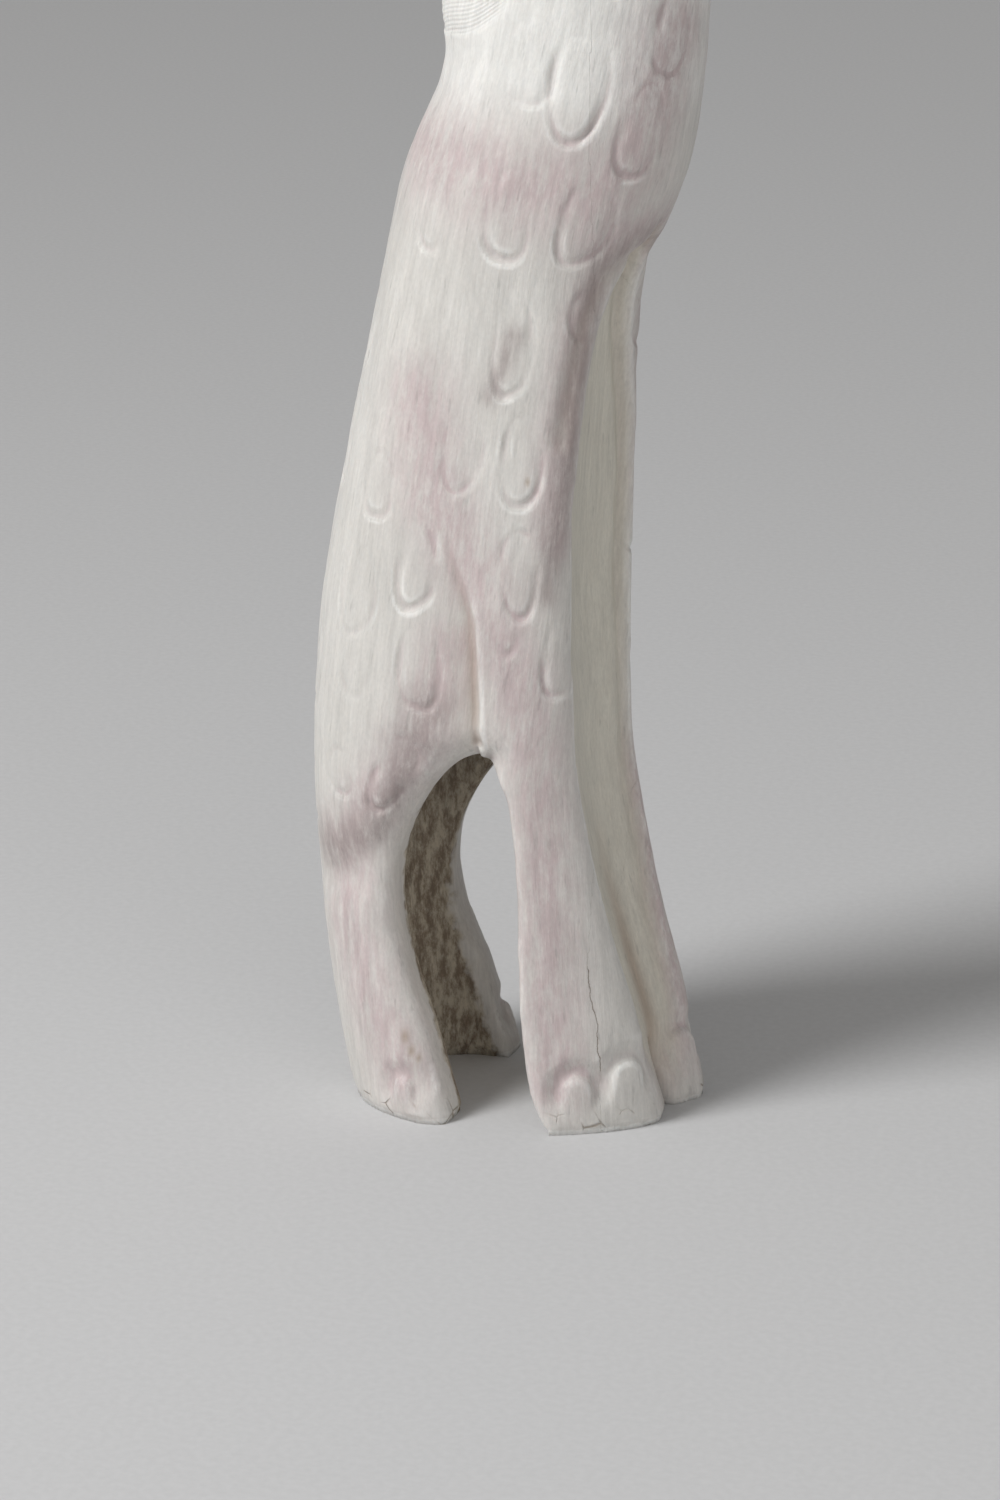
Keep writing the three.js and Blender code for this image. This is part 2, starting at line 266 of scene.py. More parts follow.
def bone_colour(graph, inside, crack):
    """Ivory paler on top (painted light) and on its edges (wear and painted highlight), with mauve stain,
    mauve in hollows, a yellower web, brown painted shade in creases and gaps, dark specks and a brown marrow
    wall.
    """
    cloud = graph.noise(scale=85, detail=3, stretch=(1, 1, 0.45))
    mottle = graph.noise(scale=620, detail=6, stretch=(1, 1, 0.30), roughness=0.78)
    rot = graph.noise(scale=760, detail=6, stretch=(1, 1, 0.40), roughness=0.75)
    curve = graph.attribute("curve")
    # Paler at random, and paler towards the top: pale bone and painted light.
    pale_tone_and_light = graph.math("ADD", graph.attribute("pale_tone_and_light"), graph.span(cloud, 0.35, 0.75, 0.0, 0.30))
    # Convex edges and rims are paler: partly wear, partly a painted highlight where the polish catches the
    # light.
    pale_tone_and_light = graph.math("ADD", pale_tone_and_light, graph.span(curve, 0.55, 0.72, 0.0, 0.9))
    colour = graph.blend(pale_tone_and_light, IVORY, PALE_TONE_AND_LIGHT)
    broken = graph.math("MULTIPLY", graph.attribute("stain"), graph.span(mottle, 0.30, 0.66, 0.25, 1.15))
    # Hollows turn towards mauve, and stained places in them more so.
    hollow = graph.span(curve, 0.47, 0.30, 0.0, 0.55)
    stain = graph.math("ADD", broken, graph.math("MULTIPLY", hollow, graph.math("ADD", broken, 0.35)))
    colour = graph.blend(graph.math("MINIMUM", stain, 1.0), colour, MAUVE)
    # Darker stain, and painted shade under the hock and beside the channel's ridge.
    dark_stain_and_shade = graph.math("MULTIPLY", graph.attribute("dark_stain_and_shade"), graph.span(mottle, 0.30, 0.62, 0.45, 1.0))
    colour = graph.blend(dark_stain_and_shade, colour, DARK_STAIN_AND_SHADE)
    colour = graph.blend(graph.math("MULTIPLY", graph.attribute("web"), 0.85), colour, WEB)
    # Brown painted shade in creases and gaps, with dark specks and marks.
    colour = graph.blend(graph.math("MULTIPLY", graph.attribute("dark_marks_and_shade"), 0.8), colour, DARK_MARK_AND_SHADE_BROWN)
    colour = graph.blend(graph.math("MULTIPLY", crack, 0.75), colour, CRACK_COLOUR)
    return graph.blend(inside, colour, graph.blend(graph.span(rot, 0.37, 0.63), MARROW, MARROW_PALE))


def bone_cracks(graph):
    """The long crack of the near front foot and the fine crazing low on the hooves."""
    waver = graph.noise(scale=420, detail=4, roughness=0.7)
    wander = graph.span(waver, 0.25, 0.75, -0.5 - CRACK_WAVER, -0.5 + CRACK_WAVER)
    offset = graph.math("ADD", graph.attribute("crack"), wander)
    crack = graph.span(graph.math("ABSOLUTE", offset), CRACK_CORE, CRACK_EDGE, 1.0, 0.0)
    lines = graph.voronoi(scale=330, stretch=(1, 1, 0.8), feature="DISTANCE_TO_EDGE")
    kept = graph.span(graph.noise(scale=260, detail=2), 0.48, 0.60)
    crazed = graph.math("MULTIPLY", graph.span(lines, 0.0, 0.05, 1.0, 0.0), kept)
    return graph.math("MAXIMUM", crack, graph.math("MULTIPLY", crazed, graph.attribute("foot")))


def bone_material():
    """Bleached bone with a long grain that follows the lean of the animal."""
    graph = Graph("bone")
    graph.lean("place")
    grain = graph.noise(scale=1700, detail=5, stretch=(1, 1, 0.09), roughness=0.7)
    fibre = graph.noise(scale=560, detail=5, stretch=(1, 1, 0.10), roughness=0.62)
    fleck = graph.noise(scale=1300, detail=2, stretch=(1, 1, 0.16))
    speckle = graph.noise(scale=2600, detail=2, stretch=(1, 1, 0.6))
    wander = graph.noise(scale=520, detail=4)
    ragged = graph.math("ADD", graph.attribute("marrow"), graph.span(wander, 0.3, 0.7, -0.22, 0.22))
    inside = graph.span(ragged, 0.25, 0.75)
    crack = bone_cracks(graph)

    shade = graph.span(grain, 0.32, 0.68, 0.92, 1.04)
    shade = graph.math("MULTIPLY", shade, graph.span(fibre, 0.32, 0.70, 0.94, 1.03))
    shade = graph.math("MULTIPLY", shade, graph.span(speckle, 0.3, 0.7, 0.96, 1.02))
    shade = graph.math("MULTIPLY", shade, graph.span(fleck, 0.26, 0.36, 0.86, 1.0))
    tint = graph.add("ShaderNodeVectorMath", operation="SCALE")
    graph.feed(tint.inputs[0], bone_colour(graph, inside, crack))
    graph.feed(tint.inputs["Scale"], shade)

    pores = graph.voronoi(scale=900, stretch=(1, 1, 0.22), feature="F1")
    pits = graph.math("MULTIPLY", graph.span(pores, 0.0, 0.45, 1.0, 0.0), inside)
    turns = graph.math("MULTIPLY", graph.attribute("strand"), STRAND_SCALE * 4 * math.pi)
    relief = graph.math("ADD", graph.math("MULTIPLY", grain, 0.6), graph.math("MULTIPLY", fibre, 0.75))
    relief = graph.math("SUBTRACT", relief, graph.math("MULTIPLY", pits, 2.0))
    relief = graph.math("SUBTRACT", relief, graph.math("MULTIPLY", crack, 1.5))
    shallow = graph.math("MULTIPLY", graph.attribute("mane"), 0.22)
    hair = graph.math("MULTIPLY", graph.math("SINE", turns), shallow)
    roughness = graph.span(fibre, 0.3, 0.7, 0.42, 0.54)
    roughness = graph.math("ADD", roughness, graph.math("MULTIPLY", inside, 0.3))
    graph.surface({
        "Base Color": tint.outputs[0],
        "Roughness": roughness,
        "Normal": graph.bump(graph.math("ADD", relief, hair), distance=0.00011),
        "Subsurface Weight": 0.12,
        "Subsurface Scale": 0.0015,
        "Subsurface Radius": (1.0, 0.75, 0.6),
    })
    return graph.material


def peg_material():
    """Sawn bone of the dowel."""
    graph = Graph("bone_peg")
    grain = graph.noise(scale=1400, detail=4, stretch=(1, 1, 0.08))
    colour = graph.ramp(grain, [(0.3, (0.52, 0.46, 0.37)), (0.75, (0.66, 0.61, 0.52))])
    graph.surface({"Base Color": colour, "Roughness": 0.6, "Normal": graph.bump(grain, distance=0.0001)})
    return graph.material


def eye_material():
    """Dark polished inlay."""
    graph = Graph("eye")
    cloud = graph.noise(scale=300, detail=1)
    colour = graph.ramp(cloud, [(0.3, (0.012, 0.009, 0.007)), (0.7, (0.022, 0.015, 0.010))])
    graph.surface({"Base Color": colour, "Roughness": 0.2, "Coat Weight": 0.6, "Coat Roughness": 0.06})
    return graph.material


# ------------------------------------------------------------------ carving tools

# An engraved ring's squareness, and the width of its slope on the inside and on the outside.
RING_SQUARENESS = 2.3
RING_INNER = 1.5
RING_OUTER = 0.7
CURVE_SCALE = 0.12
MARKS = ("stain", "dark_stain_and_shade", "web", "dark_marks_and_shade", "marrow", "pale_tone_and_light", "mane", "strand", "foot", "crack")


def smooth(values):
    """0 below 0, 1 above 1, and an S-curve between."""
    t = np.clip(values, 0, 1)
    return t * t * (3 - 2 * t)


def unevenness(points, size):
    """A smooth wandering value between about -1 and 1 that repeats over no short distance."""
    x, y, z = (points / size).T
    first = np.sin(x + 1.3 * np.sin(0.7 * z + 0.4)) * np.sin(0.8 * z + 1.1 * np.sin(0.9 * y))
    second = np.sin(1.9 * y + 1.7 * np.sin(0.6 * x + 2.0)) * np.sin(1.3 * z + 0.5 * x)
    return (first + second) / 2


def ring(across, up, width, height, phase):
    """A gouged ring, 1 along its middle line and easing to 0 on both sides, and the angle round it."""
    power = RING_SQUARENESS
    angle = np.arctan2(up / height, across / width)
    wobble = 1 + 0.07 * np.sin(2 * angle + phase) + 0.06 * np.sin(3 * angle + 1.7 * phase)
    reach = (np.abs(across / width) ** power + np.abs(up / height) ** power) ** (1 / power) / wobble
    length = np.hypot(across, up)
    beyond = length * (1 - 1 / np.maximum(reach, 1e-6))
    return np.where(beyond < 0, smooth(1 + beyond / RING_INNER), smooth(1 - beyond / RING_OUTER)), angle


def near_line(points, line):
    """Each point's distance to a line of places, and how far along it, from 0 to 1, it is nearest."""
    best = np.full(len(points), 1e9)
    along = np.zeros(len(points))
    for number, (start, end) in enumerate(zip(line, line[1:])):
        span = end - start
        t = np.clip((points - start) @ span / (span @ span), 0, 1)
        gap = np.linalg.norm(points - start - t[:, None] * span, axis=1)
        closer = gap < best
        best[closer] = gap[closer]
        along[closer] = (number + t[closer]) / (len(line) - 1)
    return best, along


def at_height(table, height, column=1):
    """A column of a table whose first column is the height, between its rows."""
    return np.interp(height, table[:, 0], table[:, column])


def bake_modifiers(piece):
    """Replaces the piece's mesh by what its modifiers make of it."""
    graph = bpy.context.evaluated_depsgraph_get()
    mesh = bpy.data.meshes.new_from_object(piece.evaluated_get(graph))
    piece.modifiers.clear()
    piece.data = mesh


class Carving:
    """A fine copy of a CAD node, held as points in millimetres that are carved along their normals."""

    def __init__(self, node, voxel):
        self.node = node
        self.piece = bpy.data.objects.new(node + "_carved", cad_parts[node].data.copy())
        bpy.context.scene.collection.objects.link(self.piece)
        remesh = self.piece.modifiers.new("fine", "REMESH")
        remesh.mode = "VOXEL"
        remesh.voxel_size = voxel * MM
        bake_modifiers(self.piece)
        self.mesh = self.piece.data
        count = len(self.mesh.vertices)
        flat = np.empty(count * 3)
        self.mesh.vertices.foreach_get("co", flat)
        self.points = flat.reshape(-1, 3) / MM
        edges = np.empty(len(self.mesh.edges) * 2, int)
        self.mesh.edges.foreach_get("vertices", edges)
        self.edges = edges.reshape(-1, 2)
        self.marks = {name: np.zeros(count) for name in MARKS}
        self.lean = np.zeros((count, 3))
        self.refresh()

    def refresh(self):
        """Puts the points back in the mesh and measures its normals again."""
        self.mesh.vertices.foreach_set("co", (self.points * MM).ravel())
        self.mesh.update()
        flat = np.empty(len(self.points) * 3, np.float32)
        self.mesh.vertex_normals.foreach_get("vector", flat)
        self.normals = flat.reshape(-1, 3).astype(float)

    def start_cutting(self):
        """Fixes the surface that places are found on; cut is how deep each point will be pushed in."""
        self.refresh()
        vertices = [Vector(point) for point in self.points]
        faces = [tuple(polygon.vertices) for polygon in self.mesh.polygons]
        self.tree = BVHTree.FromPolygons(vertices, faces)
        self.cut = np.zeros(len(self.points))

    def average(self, values):
        """The mean of each point's neighbours."""
        first, second = self.edges.T
        count = len(self.points)
        share = np.bincount(first, minlength=count) + np.bincount(second, minlength=count)
        total = np.bincount(first, values[second], count) + np.bincount(second, values[first], count)
        return total / np.maximum(share, 1)

    def relax(self, rounds, free=1.0):
        """Softens the shape; free is how much each point may move, from 0 to 1."""
        for _ in range(rounds):
            for axis in range(3):
                middle = self.average(self.points[:, axis])
                self.points[:, axis] += 0.6 * free * (middle - self.points[:, axis])
        self.refresh()

    def curvature(self):
        """Above a half where the surface stands out, below a half in hollows."""
        bend = np.zeros(len(self.points))
        for axis in range(3):
            bend += (self.points[:, axis] - self.average(self.points[:, axis])) * self.normals[:, axis]
        for _ in range(2):
            bend = 0.4 * bend + 0.6 * self.average(bend)
        return 0.5 + bend / CURVE_SCALE

    def touch(self, place):
        """The nearest place on the surface, and the way that it faces."""
        found, normal, _, _ = self.tree.find_nearest(Vector(place))
        return np.array(found), np.array(normal)

    def chart(self, place, normal, reach, lean=0.0):
        """The points around a place, with how far each lies across and up from it."""
        chosen = np.flatnonzero(np.linalg.norm(self.points - place, axis=1) < reach)
        chosen = chosen[self.normals[chosen] @ normal > 0.3]
        upright = np.array([0, 0, 1.0])
        upright -= normal * (upright @ normal)
        upright /= np.linalg.norm(upright)
        side = np.cross(upright, normal)
        offset = self.points[chosen] - place
        angle = math.radians(lean)
        across = offset @ side * math.cos(angle) - offset @ upright * math.sin(angle)
        up = offset @ side * math.sin(angle) + offset @ upright * math.cos(angle)
        return chosen, across, up

    def engrave(self, place, normal, tall, wide, lean, depth, phase):
        """An engraved spot: a hand-cut ring, deeper below than above, worn away in places."""
        chosen, across, up = self.chart(place, normal, 0.62 * tall + 3 * RING_OUTER, lean)
        cut, angle = ring(across, up, wide / 2, tall / 2, phase)
        worn = 0.43 - 0.40 * np.sin(angle) + 0.28 * np.sin(2 * angle + phase)
        worn += 0.14 * np.sin(5 * angle + 2 * phase) + 0.30 * unevenness(self.points[chosen], 1.7)
        self.cut[chosen] += depth * cut * np.clip(worn, 0.03, 1.15)

    def hollow(self, middle, sizes, depth):
        """A soft hollow, or a swelling where depth is negative."""
        away = (self.points - np.array(middle)) / np.array(sizes)
        amount = np.exp(-(away ** 2).sum(1))
        self.cut += depth * amount
        return amount

    def groove(self, line, width, depth):
        """A soft groove along a line of places; what it returns is 1 along the middle."""
        gap, _ = near_line(self.points, [np.array(place, float) for place in line])
        amount = np.exp(-(gap / width) ** 2)
        self.cut += depth * amount
        return amount

    def finish(self, material, slot, keep_below=None):
        """Pushes the cuts in, writes the marks for the material and hands the piece to the frame."""
        if keep_below is not None:
            self.cut *= self.points[:, 2] > keep_below
        self.points -= self.normals * self.cut[:, None]
        low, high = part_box(self.node)
        self.points = np.clip(self.points, np.array(low) / MM, np.array(high) / MM)
        self.refresh()
        self.marks["curve"] = self.curvature()
        for name, values in self.marks.items():
            layer = self.mesh.attributes.new(name, "FLOAT", "POINT")
            layer.data.foreach_set("value", np.clip(values, 0, 1).astype(np.float32))
        place = self.mesh.attributes.new("place", "FLOAT_VECTOR", "POINT")
        place.data.foreach_set("vector", ((self.points - self.lean) * MM).ravel().astype(np.float32))
        self.mesh.materials.clear()
        self.mesh.materials.append(material)
        self.mesh.shade_smooth()
        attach(self.piece, BODY)
        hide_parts(self.node)


# ------------------------------------------------------------------ the bone

BODY_VOXEL = 0.42
POLISH = 45

# The engraved spots of the right side: turn, height, how tall, how wide, lean in degrees, depth.
RIGHT_SPOTS = [
    (22, 152, 12.0, 5.4, 14, 0.40),
    (68, 145, 14.5, 7.2, 14, 0.60),
    (97, 148, 11.0, 7.0, 10, 0.20),
    (33, 139, 12.0, 5.9, 12, 0.50),
    (47, 127, 11.6, 6.6, 14, 0.45),
    (86, 128, 11.7, 6.6, 6, 0.50),
    (127, 127, 8.5, 5.2, 0, 0.26),
    (64, 111, 14.2, 5.2, 2, 0.40),
    (34, 115, 8.0, 4.6, 8, 0.35),
    (80, 96, 11.0, 5.4, 4, 0.26),
    (54, 95, 12.1, 5.2, 6, 0.50),
    (122, 90, 8.5, 5.2, 4, 0.32),
    (97, 80, 12.0, 5.8, 2, 0.50),
    (51, 80, 11.6, 5.2, 4, 0.38),
    (127, 75, 13.0, 5.7, 4, 0.30),
    (93, 66, 13.2, 5.6, 4, 0.45),
    (35, 68, 11.5, 4.6, 2, 0.36),
    (54, 71, 4.5, 2.8, 0, 0.26),
    (126, 63, 5.6, 4.6, 0, 0.22),
    (135, 49, 6.0, 5.2, 0, 0.26),
    (108, 50, 11.5, 6.0, 24, 0.50),
    (158, 110, 11.0, 5.0, 0, 0.30),
    (156, 95, 12.0, 5.2, 2, 0.30),
    (157, 79, 10.0, 5.0, 2, 0.30),
    (156, 63, 11.0, 5.0, 2, 0.28),
    (158, 44, 8.0, 4.4, 0, 0.24),
]
# The left side repeats them this much lower.
LEFT_DROP = 2.0
LEFT_FRONT_DROP = 5.0
LEFT_EXTRA_SPOT = (330, 83, 11.6, 4.8, 0, 0.45)
# The neck's spots: rows, turns, how far every second row shifts round, and how tall and wide each is.
NECK_SPOT_ROWS = range(163, 217, 13)
NECK_SPOT_TURNS = (18, 52, 88)
NECK_SPOT_SHIFT = 6
NECK_SPOT_DROP = 4
NECK_SPOT = (10.5, 5.2)
NECK_SPOT_LEAN = 10
NECK_SPOT_DEPTH = 0.42

# The toes: turn, how high the nail reaches, how wide it is. Then the slopes inside and outside a nail's
# edge, and how far its middle stands out.
TOES = [
    (126, 6.6, 4.2), (110, 7.6, 4.4), (48, 8.6, 5.6), (27, 10.2, 6.4),
    (234, 6.6, 4.2), (246, 7.6, 4.4), (316, 8.6, 5.6), (351, 10.4, 6.4),
]
TOE_DEPTH = 0.72
TOE_WALL = 1.3
TOE_SLOPE = 2.6
TOE_SWELLING = 0.22
TOE_SWELLING_REACH = 0.75

# Folds of the right side, as places of turn and height.
FLANK_FOLD = [(66, 55), (67, 61), (68, 69), (69, 73), (73, 77), (78, 81), (84, 85), (90, 90)]
HOCK_FOLD = [(146, 33), (133, 35), (119, 39.5), (108, 45.5), (97, 53)]
BRISKET_FOLD = [(350, 122), (5, 122), (18, 121.5), (29, 119), (35, 114), (38, 107), (40, 98)]
# How much lower each fold lies on the left side.
FLANK_LEFT_DROP = 5
HOCK_LEFT_DROP = 4
BRISKET_LEFT_DROP = 1
# The flank fold's depth, how far the haunch and the front leg slope to it, and the crease at its bottom.
FLANK_DEPTH = 0.95
HAUNCH_SLOPE = 8.0
LEG_SLOPE = 1.2
CREASE_DEPTH = 0.35
CREASE_WIDTH = 0.6
# Strokes of stain on both sides: width, and places of turn and height.
STAINS = [
    (6.5, [(150, 135), (122, 134), (100, 133), (82, 132), (65, 132), (50, 130), (36, 134)]),
    (5.5, [(36, 134), (29, 142), (22, 152)]),
    (5.0, [(36, 124), (16, 125), (0, 125)]),
    (5.5, [(106, 103), (100, 97), (92, 90), (80, 85), (66, 78)]),
    (4.5, [(76, 69), (85, 62), (91, 57), (104, 51), (119, 46), (132, 40)]),
    (5.5, [(136, 38), (138, 25), (132, 16), (124, 7)]),
    (5.0, [(58, 72), (50, 65), (45, 57), (43, 48), (45, 37), (48, 25), (52, 15), (54, 8)]),
    (3.4, [(34, 118), (37, 111), (39, 104), (40, 95), (40, 85)]),
]
# Narrower and darker strokes over them: darker stain, and painted shade under the hock's bulge and beside
# the channel's ridge.
DARK_STAIN_AND_SHADE_STROKES = [
    (3.6, [(150, 37.5), (136, 38.5), (122, 41.5), (108, 47), (98, 53), (88, 60)]),
    (2.0, [(36, 119), (35, 112), (36, 104), (38, 95), (40, 84), (41, 77)]),
    (2.2, [(34, 121), (20, 124), (4, 125)]),
    (1.6, [(64, 112), (70, 104)]),
]
DARK_STAIN_AND_SHADE_STRENGTH = 0.74
# A stroke on the left front leg alone.
LEFT_FOOT_STAIN = (6.0, [(337, 46), (340, 35), (344, 25), (347, 17), (355, 8)])
# The crack of the right front foot, and small dark specks as turn, height and size.
CRACK = [(33.6, 24), (34.6, 20), (33.8, 16), (35.2, 12), (35.0, 9)]
CRACK_REACH = 6.0
DARK_SPECKS = [(121, 12.4, 0.55), (119.5, 10.4, 0.5), (117.5, 9.4, 0.4), (51, 92.6, 0.35), (62, 40, 0.3)]

# The marrow canal: height, middle, half-length and half-width.
MARROW_CANAL = np.array([
    (0, -19.2, 10.0, 9.8),
    (50, -21.2, 11.0, 8.4),
    (120, -12.7, 7.5, 6.2),
    (224, 7.5, 3.5, 3.5),
])
# The marrow's colour ends where the canal's outline grown by this ratio does, over this fade.
MARROW_RATIO = 1.42
MARROW_FADE = 0.34
# The front part of the left hind leg's inner wall is pale: height, and how far back that reaches.
PALE_INSIDE = np.array([
    (0, -19.5),
    (7, -22.0),
    (15, -24.3),
    (22, -26.2),
    (28.5, -26.4),
    (35, -24.2),
    (48, -12.5),
])
PALE_INSIDE_FRONT = -12.0
# The web in the front channel: height and half-width.
FRONT_WEB = np.array([
    (0, 2.6),
    (14, 4.4),
    (35, 7.4),
    (60, 9.4),
    (88, 10.8),
    (98, 9.4),
    (108, 7.0),
    (118, 4.4),
    (124, 1.4),
])
# Where the web ends, how far ahead of the canal its colour starts, and the height from which it is sunk.
WEB_TOP = 124
WEB_AHEAD = 8
WEB_SINK_FROM = 56
WEB_EDGE_DEPTH = 0.75
WEB_SINK = 1.25
# The height up to which painted shade runs down the channel's middle, where the front legs part.
MIDDLE_SHADE_TOP = 48
# Chips along the soles' edges, dents all over, and the height below which the sole stays flat.
CHIP_TOP = 1.6
CHIP_DEPTH = 0.22
WIDE_DENTS = 0.10
FINE_DENTS = 0.03
SOLE = 0.3
FOOT_TOP = 4.2
# The height from which the body grows paler upwards: pale bone, and painted light where the top catches more
# light.
PALE_AND_LIT_TOP_FROM = 136

# The mane's edge: height, and how many degrees it reaches round from the back.
MANE = np.array([
    (149.5, 0),
    (150.5, 42),
    (152, 56),
    (154, 65),
    (157, 71),
    (165, 70),
    (185, 52),
    (205, 43),
    (224, 38),
])
MANE_RECESS = 0.25
STRAND_PITCH = 1.15
STRAND_DEPTH = 0.045
STRAND_RISE = 6.0

# The back edge of each arch, as places of x and height, and how its outer edge is rounded.
RIGHT_ARCH_BACK = [
    (-12.4, 53),
    (-17.6, 51.4),
    (-22.2, 45.8),
    (-25.2, 39),
    (-26.2, 33),
    (-25.6, 27.5),
    (-23.4, 20),
    (-20.2, 11),
    (-16.2, 0),
]
LEFT_ARCH_BACK = [
    (-14.4, 47.8),
    (-18.4, 46.4),
    (-22.4, 40.8),
    (-25.2, 34.4),
    (-26.2, 28.5),
    (-25.0, 22),
    (-22.2, 15),
    (-19.6, 7),
    (-17.0, 0),
]
EDGE_REACH = 5.5
EDGE_DROP = 2.6
EDGE_INNER = 11.0
EDGE_WALL = 5.0


class Shank(Carving):
    """The bone itself, with places found by turn and height."""

    def middle(self, height):
        """Halfway between the bone's back and its front at that height."""
        level = self.points[np.abs(self.points[:, 2] - height) < 2.0]
        return (level[:, 0].min() + level[:, 0].max()) / 2

    def spot(self, turn, height):
        """The place on the outside at that turn and height, and the way that it faces."""
        angle = math.radians(turn)
        away = Vector((math.cos(angle), -math.sin(angle), 0))
        middle = Vector((self.middle(height), 0, height))
        place, normal, _, _ = self.tree.ray_cast(middle + away * 80, -away)
        if place is None:
            raise ValueError(f"there is no bone at turn {turn}, height {height}")
        return np.array(place), np.array(normal)

    def line(self, places):
        return [self.spot(turn, height)[0] for turn, height in places]

    def turns(self):
        """Each point's turn about the bone's middle, in degrees from 0 to 360."""
        heights = np.arange(2, self.points[:, 2].max(), 6.0)
        middles = np.interp(self.points[:, 2], heights, [self.middle(height) for height in heights])
        return np.degrees(np.arctan2(-self.points[:, 1], self.points[:, 0] - middles)) % 360


def mirrored(places, drop):
    """The same places on the left side, a little lower."""
    return [(360 - turn, height - drop) for turn, height in places]


def round_arch_edge(bone, side, places):
    """Draws the outside of the leg in towards an arch's edge, so that the edge is rounded over."""
    flat = bone.points[:, [0, 2]]
    gap, _ = near_line(flat, np.array(places))
    outer = smooth((side * bone.points[:, 1] - EDGE_INNER) / EDGE_WALL)
    bone.points[:, 1] -= side * EDGE_DROP * outer * np.clip(1 - gap / EDGE_REACH, 0, 1) ** 2


def carve_spot(bone, turn, height, tall, wide, lean, depth):
    """An engraved spot at a place on the bone."""
    place, normal = bone.spot(turn, height)
    bone.engrave(place, normal, tall, wide, lean, depth, phase=turn + 3.1 * height)


def carve_spots(bone):
    """The spots of both sides, and the rows up the neck."""
    for turn, height, tall, wide, lean, depth in RIGHT_SPOTS:
        carve_spot(bone, turn, height, tall, wide, lean, depth)
        drop = LEFT_FRONT_DROP if turn < 40 and height < 120 else LEFT_DROP
        carve_spot(bone, 360 - turn, height - drop, tall, wide, -lean, depth)
    carve_spot(bone, *LEFT_EXTRA_SPOT)
    for number, height in enumerate(NECK_SPOT_ROWS):
        for turn in NECK_SPOT_TURNS:
            shift = NECK_SPOT_SHIFT * (number % 2)
            left = 360 - NECK_SPOT_SHIFT - turn + shift
            carve_spot(bone, turn + shift, height, *NECK_SPOT, NECK_SPOT_LEAN, NECK_SPOT_DEPTH)
            carve_spot(bone, left, height - NECK_SPOT_DROP, *NECK_SPOT, -NECK_SPOT_LEAN, NECK_SPOT_DEPTH)


def carve_toe(bone, turn, reach, wide):
    """A nail at the foot: raised, round-topped, under a soft hollow."""
    place, normal = bone.spot(turn, 1.0)
    chosen, across, up = bone.chart(place, normal, 1.3 * reach + 4)
    half = wide / 2
    level = up - (reach - 1.0 - half)
    beyond = np.hypot(across, np.maximum(level, 0)) - half
    cut = np.where(beyond < 0, smooth(1 + beyond / TOE_WALL), smooth(1 - beyond / TOE_SLOPE))
    swelling = np.exp(-(across ** 2 + level ** 2) / (TOE_SWELLING_REACH * half) ** 2)
    bone.cut[chosen] += TOE_DEPTH * cut * smooth((level + 3.2) / 3.6) - TOE_SWELLING * swelling


def carve_flank_fold(bone, places):
    """The fold that runs up from the arch: the haunch sinks towards it and the front leg rises sharply."""
    line = bone.line(places)
    gap, along = near_line(bone.points, line)
    heights = [place[2] for place in line]
    forward = bone.points[:, 0] - np.interp(bone.points[:, 2], heights, [place[0] for place in line])
    fade = 1 - smooth(along)
    slope = np.where(forward < 0, smooth(1 - gap / HAUNCH_SLOPE), smooth(1 - gap / LEG_SLOPE))
    bone.cut += fade * (CREASE_DEPTH * np.exp(-(gap / CREASE_WIDTH) ** 2) + FLANK_DEPTH * slope)
    # What it returns is painted shade: dark along the crease, and a wider band on the haunch's side where
    # the surface slopes into the fold.
    behind = smooth(0.5 - forward / 0.8) * np.exp(-(gap / 2.6) ** 2)
    return fade * (0.6 * np.exp(-(gap / 0.7) ** 2) + 0.28 * behind)


def carve_folds(bone):
    """The folds of both sides; what it returns is the painted shade in each crease, from 0 to 1."""
    crease_shade = carve_flank_fold(bone, FLANK_FOLD)
    crease_shade += carve_flank_fold(bone, mirrored(FLANK_FOLD, FLANK_LEFT_DROP))
    for places in (HOCK_FOLD, mirrored(HOCK_FOLD, HOCK_LEFT_DROP)):
        bone.groove(bone.line(places), width=3.4, depth=1.05)
    for places in (BRISKET_FOLD, mirrored(BRISKET_FOLD, BRISKET_LEFT_DROP)):
        amount = bone.groove(bone.line(places), width=1.5, depth=0.5)
        crease_shade += 0.25 * amount
    return np.clip(crease_shade, 0, 1)


def carve_web_edges(bone, web):
    """The channel is deepest along its two sides, and its upper part is sunk. What it returns, along the
    sides, also gives a little painted shade.
    """
    height = bone.points[:, 2]
    half = at_height(FRONT_WEB, height)
    inset = half - np.abs(bone.points[:, 1])
    amount = np.exp(-((inset - 0.6) / 1.3) ** 2) * smooth(web * 4) * smooth(height / 30)
    sunk = smooth(inset / 1.3 + 0.2) * smooth((height - WEB_SINK_FROM) / 22) * smooth((WEB_TOP - height) / 2)
    sunk *= smooth(web * 4)
    bone.cut += WEB_EDGE_DEPTH * amount + WEB_SINK * sunk
    return amount


def carve_mane(bone):
    """Strands across the back of the neck, ending in a wide curve above the withers."""
    round_back = np.abs(180 - bone.turns())
    height = bone.points[:, 2]
    edge = np.interp(height, MANE[:, 0], MANE[:, 1], left=-20)
    inside = smooth((edge - round_back) / 9.0 + 0.3)
    strand = (height - STRAND_RISE * (round_back / 70) ** 2) / STRAND_PITCH + 0.2 * np.sin(round_back / 6)
    bone.cut += inside * (MANE_RECESS + STRAND_DEPTH * np.cos(2 * math.pi * strand))
    bone.marks["mane"] = inside
    bone.marks["strand"] = strand / STRAND_SCALE


